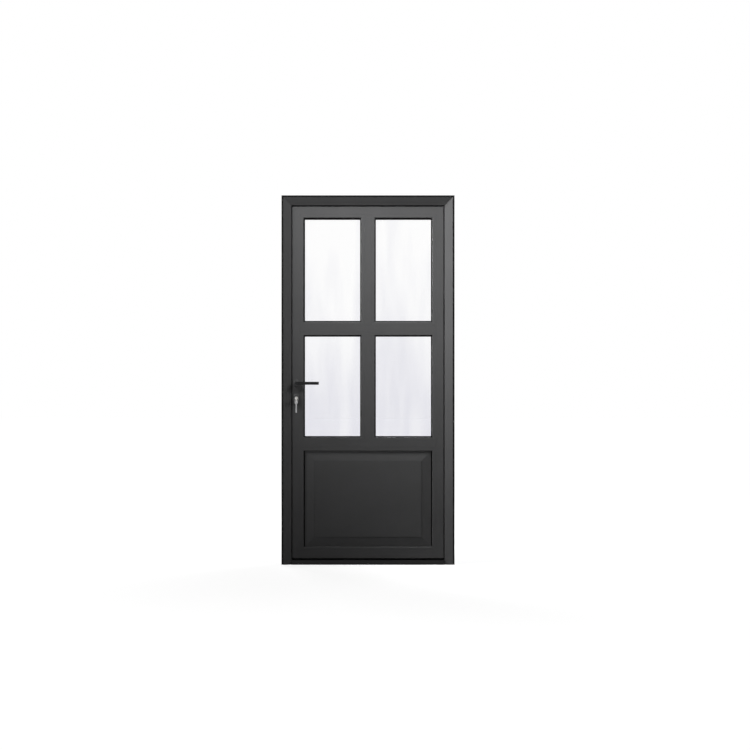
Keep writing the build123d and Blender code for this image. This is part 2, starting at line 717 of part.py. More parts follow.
def rose_pair(face, out):
    """The lever rose and the oval cover round the cylinder on one face of the leaf."""
    with BuildPart() as roses:
        with BuildSketch(facing(face)):
            with Locations((LOCK_X, LEVER_HEIGHT)):
                SlotOverall(ROSE_HEIGHT, ROSE_WIDTH, rotation=90)
            with Locations((LOCK_X, ESCUTCHEON_HEIGHT)):
                SlotOverall(ESCUTCHEON_TALL, ROSE_WIDTH, rotation=90)
        extrude(amount=out * ROSE_DEPTH)
        outer = roses.faces().filter_by(Axis.Y).group_by(Axis.Y)[0 if out > 0 else -1]
        chamfer(outer.edges(), ROSE_CHAMFER)
        with BuildSketch(facing(face)):
            with Locations((LOCK_X, LEVER_HEIGHT)):
                Circle(COLLAR_RADIUS + COLLAR_FIT)
        extrude(amount=out * ROSE_DEPTH, mode=Mode.SUBTRACT)
        add(
            euro_outline(LOCK_X, CYLINDER_HEIGHT, BOLT_FIT, face - out * ROSE_DEPTH, out * ROSE_DEPTH),
            mode=Mode.SUBTRACT,
        )
    return roses.part


with BuildPart() as outer_roses:
    add(rose_pair(LEAF_FRONT, 1))
save(outer_roses, "outer_roses")

with BuildPart() as inner_roses:
    add(rose_pair(BACK, -1))
save(inner_roses, "inner_roses")

CYLINDER_FRONT = LEAF_FRONT - ROSE_DEPTH - CYLINDER_PROUD
CYLINDER_BACK = BACK + ROSE_DEPTH + CYLINDER_PROUD

with BuildPart() as lock_cylinder:
    add(euro_outline(LOCK_X, CYLINDER_HEIGHT, 0, CYLINDER_FRONT, CYLINDER_BACK - CYLINDER_FRONT))
    with BuildSketch(facing(CYLINDER_FRONT)):
        with Locations((LOCK_X, CYLINDER_HEIGHT)):
            Circle(PLUG_RADIUS + RUNNING_FIT)
    extrude(amount=-PLUG_LENGTH, mode=Mode.SUBTRACT)
    with BuildSketch(facing(CYLINDER_BACK)):
        with Locations((LOCK_X, CYLINDER_HEIGHT)):
            Rectangle(KEY_THICK, KEY_BLADE)
    extrude(amount=PLUG_LENGTH, mode=Mode.SUBTRACT)
save(lock_cylinder, "lock_cylinder")


# Levers: a round collar in the rose, a neck and a flattened grip, one on each face, joined by the spindle
def lever(face, out):
    """One lever: collar, neck, a quarter turn and a straight grip."""
    grip = face - out * LEVER_STANDOFF
    bend = grip + out * LEVER_BEND
    bend_x = LOCK_X + LEVER_BEND
    with BuildPart() as handle:
        with BuildSketch(facing(face - out * COLLAR_FIT)):
            with Locations((LOCK_X, LEVER_HEIGHT)):
                Circle(COLLAR_RADIUS)
        extrude(amount=out * (ROSE_DEPTH + 6))
        with BuildSketch(facing(bend)):
            with Locations((LOCK_X, LEVER_HEIGHT)):
                RectangleRounded(LEVER_THICK, LEVER_TALL, LEVER_EDGE)
        extrude(amount=bend - face + out * ROSE_DEPTH)
        with BuildSketch(facing(bend)):
            with Locations((LOCK_X, LEVER_HEIGHT)):
                RectangleRounded(LEVER_THICK, LEVER_TALL, LEVER_EDGE)
        revolve(axis=Axis((bend_x, bend, LEVER_HEIGHT), (0, 0, out)), revolution_arc=90)
        with BuildSketch(Plane(origin=(bend_x, grip, LEVER_HEIGHT), x_dir=(0, 1, 0), z_dir=(1, 0, 0))):
            RectangleRounded(LEVER_THICK, LEVER_TALL, LEVER_EDGE)
        extrude(amount=LEVER_REACH - LEVER_BEND)
        chamfer(handle.faces().sort_by(Axis.X)[-1].edges(), LEVER_EDGE / 2)
    return handle.part


with BuildPart() as outer_lever:
    add(lever(LEAF_FRONT, 1))
save(outer_lever, "outer_lever")

with BuildPart() as inner_lever:
    add(lever(BACK, -1))
save(inner_lever, "inner_lever")

with BuildPart() as spindle:
    with BuildSketch(facing(LEAF_FRONT - COLLAR_FIT)):
        with Locations((LOCK_X, LEVER_HEIGHT)):
            Rectangle(SPINDLE, SPINDLE)
    extrude(amount=-(BACK - LEAF_FRONT + 2 * COLLAR_FIT))
save(spindle, "spindle")

# Key in its plug, with a second key hanging from a ring round the first key's neck
PLUG_FRONT = CYLINDER_FRONT - 0.5
BOW_FRONT = PLUG_FRONT - KEY_NECK
UPRIGHT = Plane(origin=(LOCK_X, 0, CYLINDER_HEIGHT), x_dir=(0, 1, 0), z_dir=(1, 0, 0))

with BuildPart() as cylinder_plug:
    with BuildSketch(facing(PLUG_FRONT)):
        with Locations((LOCK_X, CYLINDER_HEIGHT)):
            Circle(PLUG_RADIUS)
    extrude(amount=-(PLUG_LENGTH - 1))
    with BuildSketch(facing(PLUG_FRONT)):
        with Locations((LOCK_X, CYLINDER_HEIGHT)):
            Rectangle(KEY_THICK, KEY_BLADE)
    extrude(amount=-(PLUG_LENGTH - 4), mode=Mode.SUBTRACT)
save(cylinder_plug, "cylinder_plug")

with BuildPart() as key:
    with BuildSketch(UPRIGHT):
        with Locations((BOW_FRONT - 2, 0)):
            Rectangle(PLUG_FRONT + PLUG_LENGTH - 4 - BOW_FRONT + 2, KEY_BLADE, align=(Align.MIN, Align.CENTER))
        with Locations((BOW_FRONT - KEY_BOW / 2, 0)):
            Circle(KEY_BOW / 2)
        with Locations((BOW_FRONT - KEY_BOW * 0.7, 0)):
            Circle(KEY_BOW / 6, mode=Mode.SUBTRACT)
    extrude(amount=KEY_THICK / 2, both=True)
save(key, "key")

RING_Y = PLUG_FRONT - KEY_NECK / 2
NECK_REACH = (KEY_BLADE**2 + KEY_THICK**2) ** 0.5 / 2 + 0.2
RING_Z = CYLINDER_HEIGHT + NECK_REACH + RING_THICK / 2 - RING_RADIUS

with BuildPart() as key_ring:
    with BuildSketch(Plane(origin=(LOCK_X, RING_Y, RING_Z), x_dir=(1, 0, 0), z_dir=(0, 0, 1))):
        with Locations((RING_RADIUS, 0)):
            Rectangle(RING_THICK, RING_WIDE)
    revolve(axis=Axis((LOCK_X, RING_Y, RING_Z), (0, 1, 0)))
save(key_ring, "key_ring")

EYE_TALL = 6
EYE_WIDE = 10
EYE_TOP = RING_Z - RING_RADIUS + RING_THICK / 2 + 0.8
SPARE_BOW = 20
SPARE_TOP = EYE_TOP + 3
TWIST = Vector(1, 0, 0).rotate(Axis.Z, SPARE_KEY_TWIST)
SPARE_PLANE = Plane(origin=(LOCK_X, RING_Y, 0), x_dir=TWIST.cross(Vector(0, 0, -1)), z_dir=TWIST)

with BuildPart() as spare_key:
    with BuildSketch(SPARE_PLANE):
        with Locations((0, SPARE_TOP)):
            RectangleRounded(SPARE_BOW, SPARE_BOW, SPARE_BOW / 3, align=(Align.CENTER, Align.MAX))
        with Locations((0, SPARE_TOP - SPARE_BOW + 2)):
            Rectangle(KEY_BLADE, SPARE_KEY_LENGTH - SPARE_BOW, align=(Align.CENTER, Align.MAX))
        with Locations((0, EYE_TOP)):
            RectangleRounded(EYE_WIDE, EYE_TALL, 1.5, align=(Align.CENTER, Align.MAX), mode=Mode.SUBTRACT)
        for cut, depth in enumerate(KEY_CUTS):
            with Locations((KEY_BLADE / 2, SPARE_TOP - SPARE_BOW - 5 - cut * KEY_CUT_STEP)):
                Trapezoid(2 * depth + 1.5, 2 * depth, 60, rotation=90, mode=Mode.SUBTRACT)
    extrude(amount=KEY_THICK / 2, both=True)
save(spare_key, "spare_key")


# Hinges: the frame half carries the pin and the outer knuckles, the leaf half turns between them
KNUCKLE_LENGTH = (HINGE_LENGTH - 2 * HINGE_GAP) / 3
PLATE_CLEAR = 7
FRAME_PLATE = 30
LEAF_PLATE = 36


def hinge_side(height, side, plate, spans):
    """One half of a hinge: a screwed plate with webs that carry knuckles at the stated spans."""
    edge = PIVOT_X + side * PLATE_CLEAR
    with BuildPart() as half:
        with BuildSketch(Plane.XY.offset(height - HINGE_LENGTH / 2)):
            with Locations((edge + side * plate / 2, BACK + HINGE_PLATE / 2)):
                Rectangle(plate, HINGE_PLATE)
        extrude(amount=HINGE_LENGTH)
        for start, length in spans:
            with BuildSketch(Plane.XY.offset(height - HINGE_LENGTH / 2 + start)):
                with Locations((PIVOT_X, PIVOT_Y)):
                    Circle(KNUCKLE_RADIUS)
                with BuildLine():
                    Polyline(
                        (PIVOT_X, PIVOT_Y),
                        (PIVOT_X + side * 2, BACK + HINGE_PLATE),
                        (edge, BACK + HINGE_PLATE / 2),
                        (edge + side * 16, BACK + HINGE_PLATE / 2),
                        (edge + side * 16, BACK + HINGE_PLATE),
                        (PIVOT_X + side * 8, PIVOT_Y + 6),
                        close=True,
                    )
                make_face()
            extrude(amount=length)
    return half.part


OUTER_SPANS = ((0, KNUCKLE_LENGTH), (HINGE_LENGTH - KNUCKLE_LENGTH, KNUCKLE_LENGTH))
MIDDLE_SPAN = ((KNUCKLE_LENGTH + HINGE_GAP, KNUCKLE_LENGTH),)
for place, height in zip(("lower", "middle", "upper"), HINGE_HEIGHTS):
    with BuildPart() as frame_half:
        add(hinge_side(height, 1, FRAME_PLATE, OUTER_SPANS))
        with BuildSketch(Plane.XY.offset(height - HINGE_LENGTH / 2)):
            with Locations((PIVOT_X, PIVOT_Y)):
                Circle(PIN_RADIUS)
        extrude(amount=HINGE_LENGTH)
    save(frame_half, f"hinge_{place}_frame")
    with BuildPart() as leaf_half:
        add(hinge_side(height, -1, LEAF_PLATE, MIDDLE_SPAN))
        with BuildSketch(Plane.XY.offset(height - HINGE_LENGTH / 2)):
            with Locations((PIVOT_X, PIVOT_Y)):
                Circle(PIN_RADIUS + RUNNING_FIT)
        extrude(amount=HINGE_LENGTH, mode=Mode.SUBTRACT)
    save(leaf_half, f"hinge_{place}_leaf")
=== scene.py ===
# %% [markdown]
# # A glazed aluminium entrance door
#
# The solids of this door come from CAD: hollow profiles with mitred corners, beads, sealed panes,
# a raised panel, hinges, levers and a lock. This lesson dresses them. It makes the powder coat, the
# rubber, the metals and the glass, adds the small fasteners, and lights the door as in a plain studio.

# %% Load the door
import json
import math

import bmesh
import bpy
from mathutils import Matrix, Vector


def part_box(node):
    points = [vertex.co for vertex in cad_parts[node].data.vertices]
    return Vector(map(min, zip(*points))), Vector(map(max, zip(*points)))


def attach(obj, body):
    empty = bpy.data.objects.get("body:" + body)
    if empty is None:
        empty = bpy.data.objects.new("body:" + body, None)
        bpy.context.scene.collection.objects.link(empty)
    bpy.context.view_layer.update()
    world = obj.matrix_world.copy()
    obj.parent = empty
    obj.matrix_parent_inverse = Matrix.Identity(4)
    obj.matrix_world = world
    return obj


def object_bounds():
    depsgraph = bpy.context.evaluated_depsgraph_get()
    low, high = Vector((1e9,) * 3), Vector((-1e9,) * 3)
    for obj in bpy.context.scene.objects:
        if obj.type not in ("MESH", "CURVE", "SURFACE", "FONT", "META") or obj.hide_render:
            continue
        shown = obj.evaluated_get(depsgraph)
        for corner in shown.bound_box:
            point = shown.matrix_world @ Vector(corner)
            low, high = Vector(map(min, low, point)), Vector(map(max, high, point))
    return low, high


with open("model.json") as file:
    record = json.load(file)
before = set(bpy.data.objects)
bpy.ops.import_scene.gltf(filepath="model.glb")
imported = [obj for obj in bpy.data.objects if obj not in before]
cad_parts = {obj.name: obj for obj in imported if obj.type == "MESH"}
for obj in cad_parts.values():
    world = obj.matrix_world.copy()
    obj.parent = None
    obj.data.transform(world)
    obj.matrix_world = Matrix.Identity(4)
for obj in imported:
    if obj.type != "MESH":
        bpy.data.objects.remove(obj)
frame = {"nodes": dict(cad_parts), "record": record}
cad_low, cad_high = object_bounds()
nodes = frame["nodes"]
print("loaded", len(nodes), "pieces, box", [round(v, 3) for v in (*cad_low, *cad_high)])

# %% [markdown]
# ## Shared effects
#
# Powder coat, moulded rubber and cast or plated metal all have a fine grain: tiny hills in the surface,
# and a colour and a gloss that drift a little over a hand's breadth. One node group makes all three
# signals, so each material only states how strong they are. Object coordinates are used because the
# pieces have no unwrapped texture space, and they keep the grain fixed to the piece when it moves.


# %% Helpers for node trees
def add_node(tree, kind, **settings):
    """Adds a node and sets its plain settings and its input values."""
    made = tree.nodes.new(kind)
    for name, value in settings.items():
        if hasattr(made, name):
            setattr(made, name, value)
        else:
            made.inputs[name.replace("_", " ")].default_value = value
    return made


def new_group(name, inputs, outputs):
    """An empty shader group with named sockets, and its two end nodes."""
    group = bpy.data.node_groups.new(name, "ShaderNodeTree")
    for socket, kind, value in inputs:
        made = group.interface.new_socket(socket, in_out="INPUT", socket_type=kind)
        made.default_value = value
    for socket, kind in outputs:
        group.interface.new_socket(socket, in_out="OUTPUT", socket_type=kind)
    return group, group.nodes.new("NodeGroupInput"), group.nodes.new("NodeGroupOutput")


# %% Surface grain group
BROAD_SCALE = 5.0
NOISE_LOW, NOISE_HIGH = 0.25, 0.75


def swing(group, noise, amount):
    """1 plus or minus an amount, following a noise."""
    low = add_node(group, "ShaderNodeMath", operation="SUBTRACT")
    high = add_node(group, "ShaderNodeMath", operation="ADD")
    spread = add_node(group, "ShaderNodeMapRange", From_Min=NOISE_LOW, From_Max=NOISE_HIGH)
    group.links.new(noise.outputs[0], spread.inputs["Value"])
    for end, socket in ((low, "To Min"), (high, "To Max")):
        end.inputs[0].default_value = 1.0
        group.links.new(amount, end.inputs[1])
        group.links.new(end.outputs[0], spread.inputs[socket])
    return spread


def surface_grain_group():
    """Colour, roughness and height of a finely grained coat."""
    group, start, end = new_group(
        "Surface grain",
        [
            ("Colour", "NodeSocketColor", (0.05, 0.05, 0.05, 1)),
            ("Roughness", "NodeSocketFloat", 0.5),
            ("Grain size", "NodeSocketFloat", 900.0),
            ("Stretch", "NodeSocketFloat", 1.0),
            ("Drift", "NodeSocketFloat", 0.06),
            ("Speckle", "NodeSocketFloat", 0.08),
        ],
        [
            ("Colour", "NodeSocketColor"),
            ("Roughness", "NodeSocketFloat"),
            ("Height", "NodeSocketFloat"),
        ],
    )
    link = group.links.new
    place = add_node(group, "ShaderNodeTexCoord")
    broad = add_node(group, "ShaderNodeTexNoise", Scale=BROAD_SCALE, Detail=3.0)
    fine = add_node(group, "ShaderNodeTexNoise", Detail=2.0)
    link(place.outputs["Object"], broad.inputs["Vector"])
    pull = add_node(group, "ShaderNodeCombineXYZ", X=1.0, Y=1.0)
    pulled = add_node(group, "ShaderNodeVectorMath", operation="MULTIPLY")
    link(start.outputs["Stretch"], pull.inputs["Z"])
    link(place.outputs["Object"], pulled.inputs[0])
    link(pull.outputs[0], pulled.inputs[1])
    link(pulled.outputs[0], fine.inputs["Vector"])
    link(start.outputs["Grain size"], fine.inputs["Scale"])

    drift = swing(group, broad, start.outputs["Drift"])
    speckle = swing(group, fine, start.outputs["Speckle"])
    both = add_node(group, "ShaderNodeMath", operation="MULTIPLY")
    link(drift.outputs[0], both.inputs[0])
    link(speckle.outputs[0], both.inputs[1])
    tint = add_node(group, "ShaderNodeVectorMath", operation="SCALE")
    link(start.outputs["Colour"], tint.inputs[0])
    link(both.outputs[0], tint.inputs["Scale"])
    gloss = add_node(group, "ShaderNodeMath", operation="MULTIPLY")
    link(start.outputs["Roughness"], gloss.inputs[0])
    link(both.outputs[0], gloss.inputs[1])
    link(tint.outputs[0], end.inputs["Colour"])
    link(gloss.outputs[0], end.inputs["Roughness"])
    link(fine.outputs[0], end.inputs["Height"])
    return group


grain_group = surface_grain_group()
print("group", grain_group.name, "with", len(grain_group.nodes), "nodes")

# %% [markdown]
# ## Finishes
#
# The profiles are powder coated in a satin grey, the levers and hinges in black, and the threshold in black
# too, which is painted shade along the door's foot. The lock is brushed steel and satin nickel. Each finish
# is a
# Principled shader with the grain group in front of it.
# What is the same all over a surface, such as how metallic it is, is set on the shader itself, where a
# reader finds it at once. Brushed steel is the same grain, drawn out along the height of the plates.

# %% Grained finishes
RELIEF = 0.5


def grained(
    name, colour, roughness, grain=900.0, stretch=1.0, drift=0.06, speckle=0.08, bump=0.00004, **shader
):
    """A material whose colour, gloss and bump come from the surface grain."""
    made = bpy.data.materials.new(name)
    made.use_nodes = True
    tree = made.node_tree
    surface = tree.nodes["Principled BSDF"]
    coat = tree.nodes.new("ShaderNodeGroup")
    coat.node_tree = grain_group
    coat.inputs["Colour"].default_value = (*colour, 1)
    coat.inputs["Roughness"].default_value = roughness
    coat.inputs["Grain size"].default_value = grain
    coat.inputs["Stretch"].default_value = stretch
    coat.inputs["Drift"].default_value = drift
    coat.inputs["Speckle"].default_value = speckle
    relief = add_node(tree, "ShaderNodeBump", Strength=RELIEF, Distance=bump)
    tree.links.new(coat.outputs["Colour"], surface.inputs["Base Color"])
    tree.links.new(coat.outputs["Roughness"], surface.inputs["Roughness"])
    tree.links.new(coat.outputs["Height"], relief.inputs["Height"])
    tree.links.new(relief.outputs["Normal"], surface.inputs["Normal"])
    for socket, value in shader.items():
        surface.inputs[socket.replace("_", " ")].default_value = value
    return made


GREY, BLACK, RUBBER = (0.074, 0.074, 0.075), (0.009, 0.009, 0.0095), (0.008, 0.008, 0.008)
STEEL, NICKEL = (0.33, 0.33, 0.335), (0.62, 0.61, 0.59)
finishes = {
    "grey_paint": grained("grey_powder_coat", GREY, 0.6, Specular_IOR_Level=0.1),
    # On the threshold this black is painted shade: it stands in for the shadow along the door's foot.
    "black_metal": grained("satin_black_coat", BLACK, 0.42, Specular_IOR_Level=0.16),
    "black_rubber": grained("black_rubber", RUBBER, 0.7, grain=500, Specular_IOR_Level=0.15),
    "steel": grained("brushed_steel", STEEL, 0.35, grain=1500, stretch=0.02, speckle=0.2, Metallic=1.0),
    "nickel": grained("satin_nickel", NICKEL, 0.22, speckle=0.1, bump=0.00001, Metallic=1.0),
}
print("grained finishes", ", ".join(finishes))

# %% [markdown]
# ## Glass
#
# Clear glass in front of white shows almost nothing, yet these panes are not blank: a painted reflection
# turns them a little grey and lilac towards the foot, and soft upright streaks run through them. A faint
# tint that follows the height and a stretched noise paint both, and the panes stay see-through.

# %% Glass
TINT_TOP, TINT_FOOT = 1.95, 0.95
STREAK_PLACE, STREAK_SCALE = (8.5, 0.0, 3.0), (7.0, 1.0, 1.1)
FOOT_SHARE, STREAK_SHARE = 0.42, 0.8
CLEAR, LILAC = (0.99, 0.99, 0.99, 1), (0.84, 0.84, 0.88, 1)
CLEAR_UNTIL, GLASS_IOR = 0.42, 1.45


def clear_glass(name):
    """Glass with a painted reflection: a faint tint towards the foot and soft upright streaks."""
    made = bpy.data.materials.new(name)
    made.use_nodes = True
    tree = made.node_tree
    link = tree.links.new
    surface = tree.nodes["Principled BSDF"]
    place = add_node(tree, "ShaderNodeTexCoord")
    height = add_node(tree, "ShaderNodeSeparateXYZ")
    fall = add_node(tree, "ShaderNodeMapRange", From_Min=TINT_TOP, From_Max=TINT_FOOT)
    lower = add_node(tree, "ShaderNodeMath", operation="MULTIPLY")
    lower.inputs[1].default_value = FOOT_SHARE
    link(place.outputs["Object"], height.inputs[0])
    link(height.outputs["Z"], fall.inputs["Value"])
    link(fall.outputs[0], lower.inputs[0])
    stretch = add_node(tree, "ShaderNodeMapping", Location=STREAK_PLACE, Scale=STREAK_SCALE)
    streaks = add_node(tree, "ShaderNodeTexNoise", Scale=1.0, Detail=2.0)
    link(place.outputs["Object"], stretch.inputs["Vector"])
    link(stretch.outputs[0], streaks.inputs["Vector"])
    # Mask of the painted reflection: the upright streaks and the grey towards the foot, which the ramp turns
    # into the tint.
    painted_reflection = add_node(tree, "ShaderNodeMath", operation="MULTIPLY_ADD", use_clamp=True)
    painted_reflection.inputs[1].default_value = STREAK_SHARE
    link(streaks.outputs[0], painted_reflection.inputs[0])
    link(lower.outputs[0], painted_reflection.inputs[2])
    tint = add_node(tree, "ShaderNodeValToRGB")
    first, last = tint.color_ramp.elements
    first.position = CLEAR_UNTIL
    first.color = CLEAR
    last.color = LILAC
    link(painted_reflection.outputs[0], tint.inputs[0])
    link(tint.outputs[0], surface.inputs["Base Color"])
    surface.inputs["Roughness"].default_value = 0.0
    surface.inputs["IOR"].default_value = GLASS_IOR
    surface.inputs["Transmission Weight"].default_value = 1.0
    return made


finishes["glass"] = clear_glass("clear_glass")
print("glass with", len(finishes["glass"].node_tree.nodes), "nodes")

# %% [markdown]
# The record names a material slot for each CAD piece. The finishes carry the slots' names, so a loop can
# dress all the pieces, and a new piece of hardware would be dressed without another line.

# %% Give every CAD piece its finish
slots = {part["node"]: part["material_slot"] for part in frame["record"]["subparts"]}
for name, piece in nodes.items():
    piece.data.materials.clear()
    piece.data.materials.append(finishes[slots[name]])
print("finished", len(nodes), "pieces in", len(set(slots.values())), "finishes")

# %% [markdown]
# ## Small fittings
#
# Screws, caps and seals are too small to matter as solids, but a door without them looks like a drawing.
# Screw heads and caps are turned shapes: rings of points, joined from the rim to the middle. A hexagon
# socket uses the same rings, with the radius following the six sides. All heads of one kind on one body
# share a mesh, because they never move against each other.

# %% Turned shapes
SIDES = 24


def ring_radius(radius, angle, hexagon):
    """The distance from the middle to a circle, or to the side of a hexagon of that inner radius."""
    if not hexagon:
        return radius
    return radius / math.cos(angle % math.radians(60) - math.radians(30))


def add_turned(shape, rings, place, axis):
    """Adds a turned solid to a mesh: rings of radius, height and hexagon or not, from the rim inwards."""
    turn = Vector(axis).to_track_quat("Z", "Y").to_matrix()
    rows = []
    for radius, height, hexagon in rings:
        row = []
        for step in range(SIDES):
            angle = 2 * math.pi * step / SIDES
            reach = ring_radius(radius, angle, hexagon)
            point = Vector((reach * math.cos(angle), reach * math.sin(angle), height))
            row.append(shape.verts.new(Vector(place) + turn @ point))
        rows.append(row)
    for outer, inner in zip(rows, rows[1:]):
        for step in range(SIDES):
            after = (step + 1) % SIDES
            shape.faces.new((outer[step], outer[after], inner[after], inner[step]))
    shape.faces.new(rows[-1])
    shape.faces.new(rows[0][::-1])


# %% Pieces and screw heads
def add_piece(name, shape, body, slot):
    """Turns a mesh under construction into a piece with a finish, riding on a body."""
    mesh = bpy.data.meshes.new(name)
    shape.to_mesh(mesh)
    shape.free()
    mesh.materials.append(finishes[slot])
    made = bpy.data.objects.new(name, mesh)
    bpy.context.scene.collection.objects.link(made)
    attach(made, body)
    print(name, len(mesh.polygons), "faces")


HEAD_SHARES = ((1.0, 0.0), (0.97, 0.6), (0.82, 1.0))
SOCKET_SHARE = 0.42


def socket_head(radius, height):
    """The rings of a screw head with rounded shoulders and a hexagon socket."""
    shoulders = [(radius * across, height * up, False) for across, up in HEAD_SHARES]
    socket = radius * SOCKET_SHARE
    return shoulders + [(socket, height, True), (socket, -height, True)]


def add_screws(name, places, axis, head, body, slot="steel"):
    """One piece with a screw head of a radius and a height at each place."""
    shape = bmesh.new()
    for place in places:
        add_turned(shape, socket_head(*head), place, axis)
    add_piece(name, shape, body, slot)


# %% [markdown]
# The hinges are screwed to the back of the frame and of the leaf. Each plate gets three heads along its
# outer edge, clear of the webs that carry the knuckles, and the pins get low domed caps.

# %% Hinge screws
HINGE_HEAD = (0.0036, 0.0007)
PLATE_THICKNESS, KNUCKLE_RADIUS = 0.005, 0.010
FRAME_INSET, LEAF_INSET, SCREW_STEP = 0.007, 0.008, 0.036
plate_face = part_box("jamb_right")[1].y + PLATE_THICKNESS
frame_heads, leaf_heads, knuckles = [], [], []
for place in ("lower", "middle", "upper"):
    frame_low, frame_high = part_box(f"hinge_{place}_frame")
    leaf_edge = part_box(f"hinge_{place}_leaf")[0].x
    centre = (frame_low.z + frame_high.z) / 2
    for lift in (-SCREW_STEP, 0.0, SCREW_STEP):
        frame_heads.append((frame_high.x - FRAME_INSET, plate_face, centre + lift))
        leaf_heads.append((leaf_edge + LEAF_INSET, plate_face, centre + lift))
    pin_x, pin_y = frame_low.x + KNUCKLE_RADIUS, frame_high.y - KNUCKLE_RADIUS
    knuckles.append((pin_x, pin_y, frame_low.z, frame_high.z))
add_screws("hinge_screws_frame", frame_heads, (0, 1, 0), HINGE_HEAD, "frame", "black_metal")
add_screws("hinge_screws_leaf", leaf_heads, (0, 1, 0), HINGE_HEAD, "leaf", "black_metal")

# %% Hinge caps
DOME = [(0.0094, 0.0, False), (0.0092, 0.0008, False), (0.0078, 0.0017, False), (0.0045, 0.0022, False)]
shape = bmesh.new()
for x, y, low, high in knuckles:
    add_turned(shape, DOME, (x, y, high), (0, 0, 1))
    add_turned(shape, DOME, (x, y, low), (0, 0, -1))
add_piece("hinge_caps", shape, "frame", "black_metal")

# %% [markdown]
# The lock's long faceplate and the three strike plates show when the leaf stands open. Their screws sit
# at both ends of each plate, and on the faceplate also between the bolts. A grub screw under the neck of
# each lever holds it on the spindle.

# %% Faceplate screws
PLATE_HEAD = (0.0034, 0.0004)
FACEPLATE_SHARES = (-0.97, -0.5, -0.16, 0.16, 0.5, 0.97)
plate_low, plate_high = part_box("lock_faceplate")
plate_y = (plate_low.y + plate_high.y) / 2
plate_z = (plate_low.z + plate_high.z) / 2
half = (plate_high.z - plate_low.z) / 2
faceplate_heads = [(plate_low.x, plate_y, plate_z + half * share) for share in FACEPLATE_SHARES]
add_screws("faceplate_screws", faceplate_heads, (-1, 0, 0), PLATE_HEAD, "leaf")

# %% Strike plate screws
HOOK_STRIKE_HALF, HOOK_STRIKE_REACH = 0.06, 0.05
MAIN_STRIKE_DROP, MAIN_STRIKE_REACH = 0.0525, 0.103
lever_low, lever_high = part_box("outer_lever")
lever_z = (lever_low.z + lever_high.z) / 2
strike_low, strike_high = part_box("strike_plates")
rebate = strike_high.x
strikes = (
    (strike_low.z + HOOK_STRIKE_HALF, HOOK_STRIKE_REACH),
    (lever_z - MAIN_STRIKE_DROP, MAIN_STRIKE_REACH),
    (strike_high.z - HOOK_STRIKE_HALF, HOOK_STRIKE_REACH),
)
strike_heads = []
for strike_z, reach in strikes:
    strike_heads += [(rebate, plate_y, strike_z - reach), (rebate, plate_y, strike_z + reach)]
add_screws("strike_screws", strike_heads, (1, 0, 0), PLATE_HEAD, "frame")

# %% Grub screws under the levers
GRUB_HEAD = (0.0026, 0.0002)
NECK_RADIUS, GRUB_DROP, GRUB_STANDOFF = 0.009, 0.0085, 0.020
neck_x = lever_low.x + NECK_RADIUS
outer_y, inner_y = lever_high.y - GRUB_STANDOFF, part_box("inner_lever")[0].y + GRUB_STANDOFF
grub_places = [(neck_x, y, lever_z - GRUB_DROP) for y in (outer_y, inner_y)]
add_screws("lever_grub_screws", grub_places, (0, 0, -1), GRUB_HEAD, "lever")

# %% [markdown]
# The frame is fixed to the wall through holes in the rebates. Plastic caps in the frame's colour hide the
# screws, so each hole gets a thin disc with a rounded rim. The record's mounts say where the holes are.

# %% Caps over the wall fixings
CAP = [(0.0075, 0.0, False), (0.0073, 0.0007, False), (0.0064, 0.0011, False)]
fixings = [m for m in frame["record"]["mounts"] if m["kind"] == "bolt_pattern"]
shape = bmesh.new()
for mount in fixings:
    mount_x, mount_y, mount_z = mount["pos_m"]
    side = 1 if mount_x > 0 else -1
    spacing = mount["dims"]["spacing_y_mm"] / 1000
    for share in (-0.5, 0.5):
        add_turned(shape, CAP, (-side * rebate, mount_y, mount_z + share * spacing), (-side, 0, 0))
add_piece("fixing_caps", shape, "frame", "grey_paint")

# %% [markdown]
# Two mouldings run round the frame's front, mitred at the corners. A black strip in the groove is painted
# shade:
# it draws the dark outline round the door, where the groove lies in shade. A cover strip in the frame's
# colour carries the slope of the frame out to the groove, so the head and the left jamb are evenly dark
# where they turn from the light.
# Both follow one path, so a function takes a section round it.

# %% Mouldings round the frame
FOOT = 0.001
edge_x, top_z = cad_high.x, cad_high.z
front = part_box("jamb_left")[0].y


def add_moulding(shape, section):
    """Runs a section up one jamb, along the head and down the other: steps in from the edge, and depths."""
    rows = []
    for inward, depth in section:
        x, top = edge_x - inward, top_z - inward
        path = ((-x, depth, FOOT), (-x, depth, top), (x, depth, top), (x, depth, FOOT))
        rows.append([shape.verts.new(point) for point in path])
    for row, after in zip(rows, rows[1:] + rows[:1]):
        for step in range(len(row) - 1):
            shape.faces.new((row[step], row[step + 1], after[step + 1], after[step]))
    shape.faces.new([row[0] for row in rows])
    shape.faces.new([row[-1] for row in rows])
    bmesh.ops.recalc_face_normals(shape, faces=shape.faces)


# %% Painted shade strip and cover strip
# A black rubber strip fills the groove as painted shade: it stands in for the shade that outlines the frame.
GROOVE_NEAR, GROOVE_FAR, GROOVE_FLOOR = 0.0027, 0.0103, 0.0138
SHADE_STRIP_DEPTH = 0.0015
shade_strip_front, shade_strip_back = front + SHADE_STRIP_DEPTH, front + GROOVE_FLOOR
shade_strip_section = [
    (GROOVE_NEAR, shade_strip_front),
    (GROOVE_FAR, shade_strip_front),
    (GROOVE_FAR, shade_strip_back),
    (GROOVE_NEAR, shade_strip_back),
]
shape = bmesh.new()
add_moulding(shape, shade_strip_section)
add_piece("painted_shade_strip", shape, "frame", "black_rubber")

BAND_NEAR, BAND_FAR, FACE_SLOPE = 0.0105, 0.021, 10 / 36
crest = front - (BAND_FAR - BAND_NEAR) * FACE_SLOPE
shape = bmesh.new()
add_moulding(shape, [(BAND_NEAR, crest), (BAND_FAR, front), (BAND_NEAR, front)])
add_piece("cover_strip", shape, "frame", "grey_paint")

